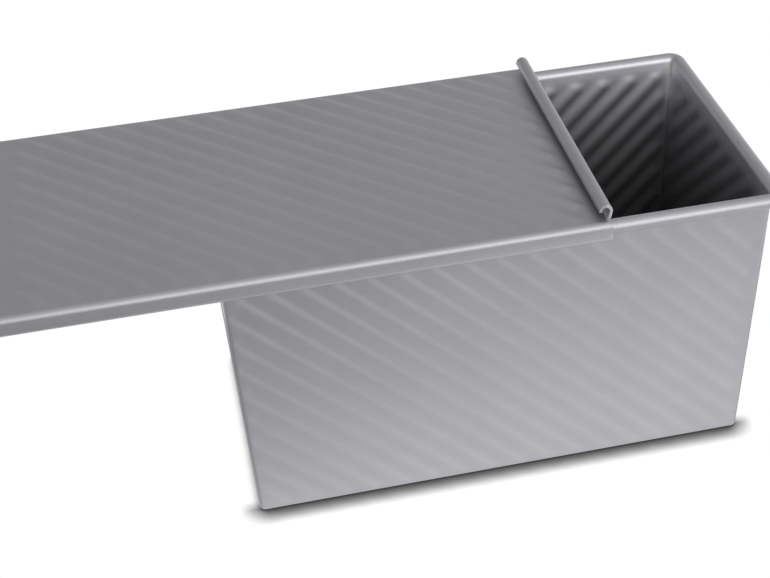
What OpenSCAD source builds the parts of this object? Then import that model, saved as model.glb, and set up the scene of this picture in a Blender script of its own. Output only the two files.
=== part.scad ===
// Pullman loaf pan: a folded sheet tub with ribbed panels, its top edge rolled round a wire,
// and a ribbed lid whose hemmed sides slide along that rolled rim.
// Frame: origin at the centre of the underside, X along the pan, Z up.

/* [Tub] */
// Inside length between the end walls, at the rim
inner_l = 196.5; // [150:0.5:330]
// Inside width between the long walls, at the rim
inner_w = 104.5; // [80:0.5:150]
// Height from the underside to the top of the rolled rim
pan_h = 113; // [80:1:140]
// How far each wall leans in between the rim and the base
wall_lean = 3.5; // [1:0.05:6]
// Thickness of the tub's sheet
sheet_t = 1; // [0.8:0.05:1.2]
// Inside radius of the folds along the base and down the corners
fold_r = 1.2; // [0.8:0.1:3]
// Width of the butt seam down each corner
seam_w = 0.3; // [0.2:0.05:0.5]
// Depth of the butt seam
seam_d = 0.35; // [0.2:0.05:0.5]

/* [Rolled rim] */
// Diameter of the wire inside the rim
wire_d = 3.2; // [2.6:0.1:4.6]
// Slack all round the wire
wire_slack = 0.05; // [0.02:0.01:0.1]
// Turn that the sheet makes round the wire
rim_wrap = 300; // [260:5:310]
// Gap between the butted ends of the wire
wire_gap = 0.8; // [0.4:0.1:2]

/* [Ribs] */
// Distance from rib to rib, square to their length
rib_pitch = 8.1; // [6:0.1:12]
// Slope of the ribs, down to the right as each panel is seen from outside
rib_slope = 45; // [35:1:55]
// Height of the ribs in the tub
rib_h = 0.55; // [0.3:0.05:0.7]
// Height of the ribs in the lid
lid_rib_h = 0.4; // [0.2:0.05:0.6]
// Least flat left between two rib tools
rib_land = 0.1; // [0.05:0.05:0.4]
// Shortest rib that is pressed, between its end centres
rib_least = 3; // [1:0.5:12]
// Plain border beside the corners of the walls and the base
side_border = 2; // [2:0.5:12]
// Plain border under the rim
top_border = 1.5; // [1.5:0.5:16]
// Plain border over the base
foot_border = 1; // [1:0.5:12]

/* [Lid] */
// Thickness of the lid's sheet
lid_t = 1; // [0.8:0.05:1.2]
// How far the lid stands slid open
lid_open = 69.8; // [0:0.1:140]
// Play between the lid and the top of the rim
lid_lift = 0.3; // [0.2:0.05:0.6]
// Play between each side of the lid and the rim
side_play = 0.45; // [0.3:0.05:0.8]
// Play between the hems and the underside of the rim
hem_play = 0.35; // [0.3:0.05:0.8]
// Reach of each hem under the rim, inward from the inside of the channel
hem_reach = 2.8; // [2:0.1:3.6]
// Inside radius of the lid's bends
bend_r = 1.3; // [0.8:0.1:1.8]
// Length of the lid past the rim at its grip end
grip_over = 4; // [2:0.1:8]
// Plain border of the lid's panel beside its long edges
lid_border = 2; // [1:0.5:12]
// Length of the side channels past the foot of the grip
channel_over = 2; // [0:0.1:2]
// Plain border of the lid's panel at its two ends
lid_end_border = 8; // [4:0.5:20]

/* [Stop lip] */
// Height of the lip turned down at the far end, over the lid's underside
lip_h = 6.5; // [5:0.5:10]
// Play between the lip and the rim when the lid is shut
stop_play = 0.3; // [0.2:0.05:0.6]
// Notch between the lip and each side channel
lip_notch = 1.2; // [0.6:0.1:3]

/* [Curled grip] */
// Inside radius of the bend at the foot of the grip
foot_r = 1; // [0.6:0.1:2]
// Outward lean of the grip's riser
grip_lean = 11.5; // [0:0.5:25]
// Length of the riser between the foot and the curl
riser_l = 2.4; // [1:0.1:8]
// Outside radius of the curl
curl_r = 2.4; // [2:0.1:6]
// Turn of the curl
curl_wrap = 200; // [150:5:250]
// Inset of the grip's ends from the sides of the lid
grip_inset = 3; // [2.5:0.1:8]

/* [Hidden] */
$fn = 48;
hull_fn = 32;
full_turn = 360;
half_turn = full_turn / 2;
right_angle = full_turn / 4;
quarter_turns = [0, 1, 2, 3];
side_signs = [-1, 1];
wedge_fans = 6;
wedge_share = 2;
overrun = 2;
slice = 0.01;
weld = 0.2;

// Rolled rim
bore_r = wire_d / 2 + wire_slack;
rim_r = bore_r + sheet_t;
rim_z = pan_h - rim_r;
rim_corner_r = fold_r + rim_r;

// Tub
lean = atan(wall_lean / rim_z);
half_l = inner_l / 2;
half_w = inner_w / 2;
outer_fold_r = fold_r + sheet_t;
foot_z = outer_fold_r;
seam_drop = outer_fold_r - sqrt(pow(outer_fold_r, 2) - pow(fold_r, 2));
seam_foot = outer_fold_r;
wall_slant = rim_z / cos(lean);

// Ribs
rib_r = (rib_pitch - rib_land) / 2;
rib_half_w = sqrt(pow(rib_r, 2) - pow(rib_r - rib_h, 2));
lid_rib_half_w = sqrt(pow(rib_r, 2) - pow(rib_r - lid_rib_h, 2));
rib_run = [cos(rib_slope), -sin(rib_slope)];
rib_step = [sin(rib_slope), cos(rib_slope)];

// Lid
lid_under = pan_h + lid_lift;
channel_y = half_w + 2 * rim_r + side_play;
hem_top = pan_h - 2 * rim_r - hem_play;
panel_half_w = channel_y - bend_r;
lip_x = -half_l - 2 * rim_r - stop_play;
panel_start = lip_x + bend_r;
panel_end = half_l + 2 * rim_r + grip_over - foot_r - lid_t;

// Half length or half width of the tub's cavity at a height
function reach_at(half, z) = half - (rim_z - z) * tan(lean);

// Centre of a corner fold at a height
function corner_at(z) = [
    reach_at(half_l, z) - fold_r / cos(lean),
    reach_at(half_w, z) - fold_r / cos(lean),
    z
];

// Stops along the line from point p in direction d at the edges [nx, ny, limit], ahead or behind
function stops(p, d, edges, ahead) = [
    for (e = edges)
        let (rate = e[0] * d[0] + e[1] * d[1])
            if (ahead * rate > 0) (e[2] - e[0] * p[0] - e[1] * p[1]) / rate
];

// Edges of a rib window: half width at its foot and at its head, and the heights of both
function window(foot_half, head_half, low, high) =
    let (spread = (head_half - foot_half) / (high - low))
    let (mid_half = foot_half - low * spread)
    [[1, -spread, mid_half], [-1, -spread, mid_half], [0, 1, high], [0, -1, -low]];

// Tapered form with round corners and bottom edges, up to a height
module tub_form(r, top_z) {
    hull()
        for (sx = side_signs, sy = side_signs) {
            foot = corner_at(foot_z);
            head = corner_at(top_z);
            translate([sx * foot[0], sy * foot[1], foot[2]])
                sphere(r, $fn = hull_fn);
            translate([sx * head[0], sy * head[1], head[2] - slice])
                cylinder(r = r, h = slice, $fn = hull_fn);
        }
}

// Frame of one wall: x to the right and y up as seen from outside, z outward, on its inner face
module on_wall(turn, half) {
    rotate([0, 0, turn * right_angle])
        translate([0, -half, rim_z])
            rotate([right_angle + lean, 0, 0])
                children();
}

// Bar with round ends along a rib, from one end centre to the other
module rib_bar(r, start, length) {
    translate([start[0], start[1], 0])
        rotate([0, 0, -rib_slope])
            rotate([0, right_angle, 0]) {
                cylinder(r = r, h = length);
                sphere(r);
                translate([0, 0, length])
                    sphere(r);
            }
}

// Parallel bars that fill a window, sunk so that they stand a rib's height out of the sheet
module rib_field(r, edges, reach) {
    count = ceil(reach / rib_pitch);
    for (i = [-count : count - 1]) {
        p = (i + 1 / 2) * rib_pitch * rib_step;
        ahead = min(stops(p, rib_run, edges, 1));
        behind = max(stops(p, rib_run, edges, -1));
        if (ahead - behind > rib_least)
            rib_bar(r, p + behind * rib_run, ahead - behind);
    }
}

// Ribs of all four walls and of the base, as bars of one radius behind the sheet
module tub_ribs(r) {
    low = -wall_slant + foot_z + foot_border;
    high = -rim_r - top_border;
    for (turn = quarter_turns) {
        half = turn % 2 == 0 ? half_l : half_w;
        away = turn % 2 == 0 ? half_w : half_l;
        inset = side_border + rib_half_w;
        edges = window(
            half + low * tan(lean) - inset,
            half + high * tan(lean) - inset,
            low + rib_half_w,
            high - rib_half_w
        );
        on_wall(turn, away)
            translate([0, 0, rib_r - rib_h])
                rib_field(r, edges, half + pan_h);
    }
    base_x = reach_at(half_l, sheet_t) - fold_r - side_border;
    base_y = reach_at(half_w, sheet_t) - fold_r - side_border;
    translate([0, 0, sheet_t + rib_h - rib_r])
        rotate([half_turn, 0, 0])
            rib_field(r, window(base_x, base_x, -base_y, base_y), base_x + base_y);
}

// Sector of a ring, drawn from one angle to another
module arc_strip(inside_r, thick, from, to) {
    far = wedge_share * (inside_r + thick);
    step = (to - from) / wedge_fans;
    fan = [for (i = [0 : wedge_fans]) far * [cos(from + i * step), sin(from + i * step)]];
    intersection() {
        difference() {
            circle(inside_r + thick);
            circle(inside_r);
        }
        polygon(concat([[0, 0]], fan));
    }
}

// Section of the rolled rim: x outward from the wall's inner face, y up from the wire's height
module rim_section() {
    translate([rim_r, 0])
        arc_strip(bore_r, sheet_t, half_turn - rim_wrap, half_turn);
}

// A section swept round the rim: four straights and four corner quarters
module round_the_rim(half_x, half_y) {
    for (turn = quarter_turns) {
        half = turn % 2 == 0 ? half_x : half_y;
        away = turn % 2 == 0 ? half_y : half_x;
        rotate([0, 0, turn * right_angle]) {
            translate([half - fold_r, -away, 0])
                rotate([right_angle, 0, -right_angle])
                    linear_extrude(2 * (half - fold_r))
                        children();
            translate([half - fold_r, -away + fold_r, 0])
                rotate([0, 0, -right_angle])
                    rotate_extrude(angle = right_angle)
                        translate([fold_r, 0])
                            children();
        }
    }
}

// Slots of the butt seams, down both ends of each long wall
module corner_seams() {
    for (turn = [0, 2], side = side_signs)
        on_wall(turn, half_w)
            translate([side * half_l, 0, sheet_t - seam_drop - seam_d])
                rotate([0, 0, -side * lean])
                    translate([-seam_w / 2, seam_foot - wall_slant, 0])
                        cube([seam_w, wall_slant - seam_foot - rim_r, seam_d + seam_drop + overrun]);
}

module pan_body() {
    color("silver")
        difference() {
            union() {
                difference() {
                    tub_form(outer_fold_r, rim_z);
                    difference() {
                        tub_form(fold_r, rim_z + overrun);
                        tub_ribs(rib_r);
                    }
                }
                translate([0, 0, rim_z])
                    round_the_rim(half_l, half_w)
                        rim_section();
            }
            tub_ribs(rib_r - sheet_t);
            corner_seams();
        }
}

module rim_wire() {
    color("dimgray")
        difference() {
            translate([0, 0, rim_z])
                round_the_rim(half_l, half_w)
                    translate([rim_r, 0])
                        circle(d = wire_d);
            translate([-wire_gap / 2, half_w, rim_z - rim_r])
                cube([wire_gap, 2 * rim_r, 2 * rim_r]);
        }
}

// Section of one side of the lid: top bend, leg, lower bend and hem, x outward and y up
module channel_section() {
    translate([panel_half_w - weld, lid_under])
        square([weld, lid_t]);
    translate([panel_half_w, lid_under - bend_r])
        arc_strip(bend_r, lid_t, 0, right_angle);
    translate([panel_half_w, hem_top + bend_r])
        arc_strip(bend_r, lid_t, -right_angle, 0);
    translate([channel_y, hem_top + bend_r])
        square([lid_t, lid_under - hem_top - 2 * bend_r]);
    translate([channel_y - hem_reach, hem_top - lid_t])
        square([hem_reach - bend_r, lid_t]);
}

// Section of the grip: foot bend, leaning riser and curl, x along the lid and y up
module grip_section() {
    translate([panel_end - weld, lid_under])
        square([weld, lid_t]);
    translate([panel_end, lid_under + lid_t + foot_r]) {
        arc_strip(foot_r, lid_t, -right_angle, -grip_lean);
        rotate(-grip_lean) {
            translate([foot_r, 0])
                square([lid_t, riser_l]);
            translate([foot_r + lid_t - curl_r, riser_l])
                arc_strip(curl_r - lid_t, lid_t, 0, curl_wrap);
        }
    }
}

// Section of the stop lip: bend and leg, x along the lid and y up
module lip_section() {
    translate([panel_start, lid_under])
        square([weld, lid_t]);
    translate([panel_start, lid_under - bend_r])
        arc_strip(bend_r, lid_t, right_angle, half_turn);
    translate([lip_x - lid_t, lid_under - lip_h])
        square([lid_t, lip_h - bend_r]);
}

// Ribs of the lid, as bars of one radius under its top
module lid_ribs(r) {
    mid_x = (panel_start + panel_end) / 2;
    span_x = (panel_end - panel_start) / 2 - lid_end_border;
    span_y = panel_half_w - lid_border - lid_rib_half_w;
    translate([mid_x, 0, lid_under + lid_t + lid_rib_h - rib_r])
        rib_field(r, window(span_x, span_x, -span_y, span_y), span_x + span_y);
}

module lid() {
    grip_w = 2 * (channel_y + lid_t - grip_inset);
    lip_w = 2 * (panel_half_w - lip_notch);
    color("lightgray")
        translate([-lid_open, 0, 0])
            difference() {
                union() {
                    translate([panel_start, -panel_half_w, lid_under])
                        cube([panel_end - panel_start, 2 * panel_half_w, lid_t]);
                    intersection() {
                        lid_ribs(rib_r);
                        translate([panel_start, -panel_half_w, lid_under])
                            cube([panel_end - panel_start, 2 * panel_half_w, lid_t + rib_r]);
                    }
                    for (side = [0, 1])
                        mirror([0, side, 0])
                            translate([panel_start, 0, 0])
                                rotate([right_angle, 0, right_angle])
                                    linear_extrude(panel_end + channel_over - panel_start)
                                        channel_section();
                    rotate([right_angle, 0, 0])
                        linear_extrude(grip_w, center = true)
                            grip_section();
                    rotate([right_angle, 0, 0])
                        linear_extrude(lip_w, center = true)
                            lip_section();
                }
                lid_ribs(rib_r - lid_t);
            }
}

pan_body();
rim_wire();
lid();
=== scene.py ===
"""Dressed model of a ribbed pullman loaf pan with a sliding lid.

The tub and the lid are each built as the middle surface of a folded sheet.
A Geometry Nodes tree presses the ribs into the flat panels, and the sheet is then
given its thickness. The sizes of the pan and the lid are in millimetres, those of the
meshes and the studio in metres.
"""

import logging
import math
from dataclasses import dataclass, field
from enum import Enum
from typing import Any, Sequence

import bmesh
import bpy
import numpy as np
from mathutils import Matrix, Vector


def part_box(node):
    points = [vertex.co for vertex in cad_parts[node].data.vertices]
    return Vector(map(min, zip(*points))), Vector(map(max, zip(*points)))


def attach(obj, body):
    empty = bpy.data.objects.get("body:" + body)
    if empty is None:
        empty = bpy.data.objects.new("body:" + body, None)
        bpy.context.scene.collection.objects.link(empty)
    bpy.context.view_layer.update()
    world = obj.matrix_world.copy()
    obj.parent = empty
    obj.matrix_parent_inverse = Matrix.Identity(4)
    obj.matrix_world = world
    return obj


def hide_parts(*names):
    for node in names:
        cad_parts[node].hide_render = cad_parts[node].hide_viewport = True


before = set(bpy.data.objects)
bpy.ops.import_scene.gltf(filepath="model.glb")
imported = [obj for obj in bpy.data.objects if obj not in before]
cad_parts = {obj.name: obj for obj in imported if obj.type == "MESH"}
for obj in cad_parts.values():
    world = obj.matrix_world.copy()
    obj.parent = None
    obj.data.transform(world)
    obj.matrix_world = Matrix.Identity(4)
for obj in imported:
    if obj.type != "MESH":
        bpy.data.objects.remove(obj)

LOG = logging.getLogger("loaf_pan")
MM = 0.001

# Directions of the frame: along the pan, across it, and down.
RIGHT = Vector((1.0, 0.0, 0.0))
BACK = Vector((0.0, 1.0, 0.0))
DOWN = Vector((0.0, 0.0, -1.0))
UP = -DOWN

# Depth of the surface's relief in millimetres, the angle in degrees from which a
# fold is shaded sharp, and the angle and steps of the softened cut edges.
RELIEF_DEPTH = 0.05
SHARP_ANGLE = 60.0
BEVEL_ANGLE = 50.0
BEVEL_STEPS = 2

# Tolerances: two mesh lines at one place, a point on a panel's side (millimetres),
# a length or an angle that counts as none, and a line that touches a corner.
SAME = 1e-6
ON_SIDE = 1e-5
TINY = 1e-9
TOUCH = 1e-12

Point2 = tuple[float, float]
Row = list[bmesh.types.BMVert]


def grey(level: float) -> tuple[float, float, float, float]:
    """A grey as red, green, blue and alpha."""
    return level, level, level, 1.0


# ---------------------------------------------------------------- node trees
class NodeBuilder:
    """Adds nodes to one shader or geometry tree."""

    def __init__(self, tree: bpy.types.NodeTree) -> None:
        """Wraps a tree and clears it.

        Args:
            tree: The shader or geometry node tree to fill.
        """
        self.tree = tree
        tree.nodes.clear()

    @classmethod
    def on(cls, owner: bpy.types.Material | bpy.types.World) -> "NodeBuilder":
        """Turns on the nodes of a material or a world and wraps its tree."""
        owner.use_nodes = True
        return cls(owner.node_tree)

    def add(
        self,
        kind: str,
        settings: dict[str, Any] | None = None,
        sockets: dict[int | str, Any] | None = None,
    ) -> bpy.types.Node:
        """Adds one node.

        Args:
            kind: Blender's name of the node's type.
            settings: Properties of the node, set before its sockets. The key "stops"
                takes a ramp's stops as pairs of position and colour.
            sockets: Values or signals for the inputs, by name or by place.

        Returns:
            The new node.
        """
        node = self.tree.nodes.new(kind)
        for name, setting in (settings or {}).items():
            if name == "stops":
                self._set_stops(node.color_ramp, setting)
            else:
                setattr(node, name, setting)
        for key, value in (sockets or {}).items():
            self.feed(node.inputs[key], value)
        return node

    def feed(self, socket: bpy.types.NodeSocket, value: Any) -> None:
        """Links a signal to a socket, or sets the socket's own value.

        Args:
            socket: The input socket.
            value: A signal, or a plain value.
        """
        if isinstance(value, Signal):
            self.tree.links.new(value.socket, socket)
        else:
            socket.default_value = value

    def out(
        self,
        kind: str,
        settings: dict[str, Any] | None = None,
        sockets: dict[int | str, Any] | None = None,
        output: int | str = 0,
    ) -> "Signal":
        """Adds a node, as add does, and returns one of its outputs as a signal."""
        return Signal(self, self.add(kind, settings, sockets).outputs[output])

    def math(self, operation: str, *values: "Signal | float") -> "Signal":
        """Adds a Math node on its values and returns the result."""
        return self.out(
            "ShaderNodeMath", {"operation": operation}, dict(enumerate(values))
        )

    def mix_colour(
        self, factor: "Signal | float", first: Any, second: Any, blend: str = "MIX"
    ) -> "Signal":
        """Mixes two colours.

        Args:
            factor: Share of the second colour.
            first: First colour, as a signal or as red, green, blue, alpha.
            second: Second colour.
            blend: Blender's name of the blend type.

        Returns:
            The mixed colour.
        """
        settings = {"data_type": "RGBA", "blend_type": blend, "clamp_factor": True}
        return self.out(
            "ShaderNodeMix", settings, {0: factor, 6: first, 7: second}, output=2
        )

    def between(self, value: "Signal", low: float, high: float) -> "Signal":
        """Holds a value between two limits."""
        return self.math("MINIMUM", self.math("MAXIMUM", value, low), high)

    def parts(self, vector: "Signal") -> list["Signal"]:
        """Splits a vector into its X, Y and Z."""
        split = self.add("ShaderNodeSeparateXYZ", sockets={0: vector})
        return [Signal(self, socket) for socket in split.outputs]

    def noise(
        self, place: "Signal", size: float, detail: float = 2.0, rough: float = 0.5
    ) -> "Signal":
        """Adds a noise.

        Args:
            place: Place on the object.
            size: Size of the pattern in millimetres.
            detail: Count of finer layers.
            rough: Strength of the finer layers.

        Returns:
            The noise, from 0 to 1.
        """
        scale = 1.0 / (size * MM)
        pattern = {"Scale": scale, "Detail": detail, "Roughness": rough}
        settings = {"noise_dimensions": "3D"}
        return self.out("ShaderNodeTexNoise", settings, {"Vector": place, **pattern})

    def metal(
        self, colour: "Signal", rough: "Signal", relief: "Signal", bump: float
    ) -> None:
        """Ends the tree of a bare metal surface.

        Args:
            colour: Reflected colour.
            rough: Roughness.
            relief: Relief, as a share of its depth.
            bump: Strength of the relief.
        """
        depth = RELIEF_DEPTH * MM
        normal = self.out(
            "ShaderNodeBump",
            sockets={"Strength": bump, "Distance": depth, "Height": relief},
        )
        shader = self.out(
            "ShaderNodeBsdfPrincipled",
            sockets={
                "Base Color": colour,
                "Metallic": 1.0,
                "Roughness": rough,
                "Normal": normal,
            },
        )
        self.add("ShaderNodeOutputMaterial", sockets={"Surface": shader})

    @staticmethod
    def _set_stops(
        ramp: bpy.types.ColorRamp, stops: Sequence[tuple[float, Sequence[float]]]
    ) -> None:
        """Gives a ramp its stops.

        Args:
            ramp: The ramp.
            stops: Pairs of position and colour.
        """
        while len(ramp.elements) < len(stops):
            ramp.elements.new(1.0)
        for element, (position, colour) in zip(ramp.elements, stops):
            element.position = position
            element.color = colour


class Signal:
    """An output socket that takes part in Python expressions."""

    def __init__(self, builder: NodeBuilder, socket: bpy.types.NodeSocket) -> None:
        """Wraps an output socket of the builder's tree."""
        self.builder = builder
        self.socket = socket

    def __add__(self, other: "Signal | float") -> "Signal":
        """Sum."""
        return self.builder.math("ADD", self, other)

    def __radd__(self, other: float) -> "Signal":
        """Sum with a number on the left."""
        return self.builder.math("ADD", other, self)

    def __sub__(self, other: "Signal | float") -> "Signal":
        """Difference."""
        return self.builder.math("SUBTRACT", self, other)

    def __rsub__(self, other: float) -> "Signal":
        """Difference from a number on the left."""
        return self.builder.math("SUBTRACT", other, self)

    def __mul__(self, other: "Signal | float") -> "Signal":
        """Product."""
        return self.builder.math("MULTIPLY", self, other)

    def __rmul__(self, other: float) -> "Signal":
        """Product with a number on the left."""
        return self.builder.math("MULTIPLY", other, self)

    def __truediv__(self, other: "Signal | float") -> "Signal":
        """Quotient."""
        return self.builder.math("DIVIDE", self, other)

    def __rtruediv__(self, other: float) -> "Signal":
        """Quotient of a number on the left."""
        return self.builder.math("DIVIDE", other, self)

    def __pow__(self, other: "Signal | float") -> "Signal":
        """Power."""
        return self.builder.math("POWER", self, other)

    def __rpow__(self, other: float) -> "Signal":
        """Power of a number on the left."""
        return self.builder.math("POWER", other, self)

    def __gt__(self, other: "Signal | float") -> "Signal":
        """One where this is greater, else zero."""
        return self.builder.math("GREATER_THAN", self, other)

    def __lt__(self, other: "Signal | float") -> "Signal":
        """One where this is less, else zero."""
        return self.builder.math("LESS_THAN", self, other)


# ---------------------------------------------------------------- finishes
class Grain(Enum):
    """Direction of a finish's fine marks, as their scale along X, Y and Z.

    EVEN gives them none, and LEVEL draws them out along X and Y.
    """

    EVEN = (1.0, 1.0, 1.0)
    LEVEL = (0.05, 0.05, 1.0)


@dataclass(frozen=True)
class SatinSheet:
    """Satin silver coating on sheet metal, for the tub and for the lid.

    Attributes:
        name: Name of the material.
        colour: Reflected colour of the coating, linear.
        mottle: Share by which the noises lighten and darken the colour.
        roughness: Middle roughness.
        roughness_swing: Change of the roughness with the noises.
        noises: Size in millimetres, detail and roughness of the four noises: clouds,
            blotches, smudges and fine grain.
        tone_shares: Shares of the four in the mottle.
        gloss_shares: Shares of the four in the change of the roughness.
        crown_gain: How much brighter the crowns of the ribs are.
        crown_polish: How much smoother they are.
        edge_gain: How much lighter the colour is on marked edges: bare or worn metal,
            with a painted highlight on them and on the rim.
        edge_polish: How much smoother they are.
        bump: Strength of the relief.
        fine_relief: Share of the fine grain in the relief.
        smudge_relief: Share of the smudges in the relief.
        mark_relief: Depth of the hairline marks in the relief.
        mark_rough: How much rougher a hairline mark is.
        mark_turn: Turn of the marks in radians.
        mark_stretch: Scale of the marks along their length and across it.
        mark_size: Distance between the marks in millimetres.
        mark_width: Width of a mark as a share of that distance.
        mark_gap: Size of the patches without marks in millimetres.
        mark_rarity: Noise above which a patch has marks.
        grain: Direction of the grain.
    """

    name: str
    colour: tuple[float, float, float]
    mottle: float = 0.05
    roughness: float = 0.55
    roughness_swing: float = 0.05
    noises: tuple[tuple[float, float, float], ...] = (
        (46.0, 3.0, 0.55),
        (9.0, 2.0, 0.5),
        (4.0, 4.0, 0.6),
        (0.45, 2.0, 0.6),
    )
    tone_shares: tuple[float, ...] = (2.0, 1.0, 0.8, 1.2)
    gloss_shares: tuple[float, ...] = (1.0, 0.0, 0.8, 1.5)
    crown_gain: float = 0.02
    crown_polish: float = 0.04
    edge_gain: float = 0.25
    edge_polish: float = 0.08
    bump: float = 0.12
    fine_relief: float = 0.6
    smudge_relief: float = 0.5
    mark_relief: float = 0.8
    mark_rough: float = 0.05
    mark_turn: tuple[float, float, float] = (0.4, 0.9, 0.6)
    mark_stretch: tuple[float, float, float] = (1.0, 9.0, 9.0)
    mark_size: float = 30.0
    mark_width: float = 0.01
    mark_gap: float = 25.0
    mark_rarity: float = 0.55
    grain: Grain = Grain.EVEN

    def material(self) -> bpy.types.Material:
        """Builds the node material.

        Returns:
            The finished material.
        """
        made = bpy.data.materials.new(self.name)
        build = NodeBuilder.on(made)
        place = build.out("ShaderNodeTexCoord", output="Object")
        along = build.out(
            "ShaderNodeMapping", sockets={"Vector": place, "Scale": self.grain.value}
        )
        layers = [build.noise(along, *sizes) for sizes in self.noises]
        crown, edge, inside = (
            build.out("ShaderNodeAttribute", {"attribute_name": name}, output="Fac")
            for name in ("crown", "edge_wear_and_highlight", "painted_light_inside")
        )
        marks = self._hairlines(build, place)

        shade = self._vary(1.0, self.mottle, layers, self.tone_shares)
        # edge_wear_and_highlight lightens bare, worn and polished edges, partly as a
        # painted highlight, and painted_light_inside paints light and shade inside the
        # tub; the noises give the coating's own tone.
        shade = shade + edge * self.edge_gain + crown * self.crown_gain + inside
        level = build.out(
            "ShaderNodeCombineColor", {"mode": "RGB"}, {0: shade, 1: shade, 2: shade}
        )
        colour = build.mix_colour(1.0, (*self.colour, 1.0), level, "MULTIPLY")
        rough = self._vary(
            self.roughness, self.roughness_swing, layers, self.gloss_shares
        )
        rough = rough - crown * self.crown_polish - edge * self.edge_polish
        rough = rough + marks * self.mark_rough
        smudge, fine = layers[2:]
        relief = fine * self.fine_relief + smudge * self.smudge_relief
        build.metal(colour, rough, relief - marks * self.mark_relief, self.bump)
        return made

    @staticmethod
    def _vary(
        start: "float | Signal",
        swing: float,
        layers: Sequence[Signal],
        shares: Sequence[float],
    ) -> Signal:
        """Varies a value by layers of noise.

        Args:
            start: The middle value.
            swing: Change of the value by a whole layer.
            layers: Noises from 0 to 1.
            shares: Share of each layer, 0 where it has none.

        Returns:
            The varied value.
        """
        for layer, share in zip(layers, shares):
            if share:
                start = start + (layer - 0.5) * (share * swing)
        return start

    def _hairlines(self, build: NodeBuilder, place: Signal) -> Signal:
        """Adds sparse hairline marks of handling.

        Args:
            build: Builder of the material's tree.
            place: Place on the object.

        Returns:
            1 on a mark and 0 elsewhere.
        """
        turned = build.out(
            "ShaderNodeMapping",
            sockets={
                "Vector": place,
                "Rotation": self.mark_turn,
                "Scale": self.mark_stretch,
            },
        )
        cell = build.out(
            "ShaderNodeTexVoronoi",
            {"feature": "DISTANCE_TO_EDGE"},
            {"Vector": turned, "Scale": 1.0 / (self.mark_size * MM)},
        )
        patches = build.noise(place, self.mark_gap)
        return (self.mark_width - cell > 0.0) * (patches > self.mark_rarity)


@dataclass(frozen=True)
class DrawnWire:
    """Drawn steel wire with fine marks along its length.

    Attributes:
        name: Name of the material.
        colour: Reflected colour, linear.
        dark: Level of the darker marks, as a share of the colour.
        contrast: Values of the noise at the darker and at the lighter marks.
        roughness: Middle roughness.
        roughness_swing: Change of the roughness from mark to mark.
        line_size: Distance between the marks in millimetres.
        line_detail: Detail of the marks.
        bump: Strength of the relief.
        grain: Direction of the marks.
    """

    name: str = "drawn_steel_wire"
    colour: tuple[float, float, float] = (0.33, 0.33, 0.34)
    dark: float = 0.85
    contrast: Point2 = (0.3, 0.7)
    roughness: float = 0.36
    roughness_swing: float = 0.15
    line_size: float = 0.3
    line_detail: float = 3.0
    bump: float = 0.15
    grain: Grain = Grain.LEVEL

    def material(self) -> bpy.types.Material:
        """Builds the node material.

        Returns:
            The finished material.
        """
        made = bpy.data.materials.new(self.name)
        build = NodeBuilder.on(made)
        place = build.out("ShaderNodeTexCoord", output="Object")
        drawn = build.out(
            "ShaderNodeMapping", sockets={"Vector": place, "Scale": self.grain.value}
        )
        lines = build.noise(drawn, self.line_size, self.line_detail)
        stops = [
            (at, (*(level * c for c in self.colour), 1.0))
            for at, level in zip(self.contrast, (self.dark, 1.0))
        ]
        colour = build.out("ShaderNodeValToRGB", {"stops": stops}, {"Fac": lines})
        rough = self.roughness + (lines - 0.5) * self.roughness_swing
        build.metal(colour, rough, lines, self.bump)
        return made


# ---------------------------------------------------------------- ribs
@dataclass(frozen=True)
class RibRule:
    """Pattern of the pressed ribs, shared by all panels.

    Attributes:
        pitch: Distance from rib to rib.
        slope: Angle of the ribs in degrees, down to the right from outside.
        shortest: Length between end centres under which no rib is pressed.
        lines_a_pitch: Mesh lines in one pitch.
    """

    pitch: float = 8.1
    slope: float = 45.0
    shortest: float = 3.0
    lines_a_pitch: int = 8

    @property
    def step(self) -> Point2:
        """Direction square to the ribs."""
        a = math.radians(self.slope)
        return math.sin(a), math.cos(a)

    @property
    def run(self) -> Point2:
        """Direction along the ribs."""
        a = math.radians(self.slope)
        return math.cos(a), -math.sin(a)


@dataclass(frozen=True)
class Window:
    """Part of a panel that ribs may fill: a trapezium between two heights.

    Attributes:
        half: Half width at height zero.
        spread: Growth of the half width for each unit of height.
        low: Lower edge.
        high: Upper edge.
    """

    half: float
    spread: float
    low: float
    high: float


# A window so narrow that no rib fits in it.
NO_RIBS = Window(-1000.0, 0.0, 0.0, 0.0)


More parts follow.
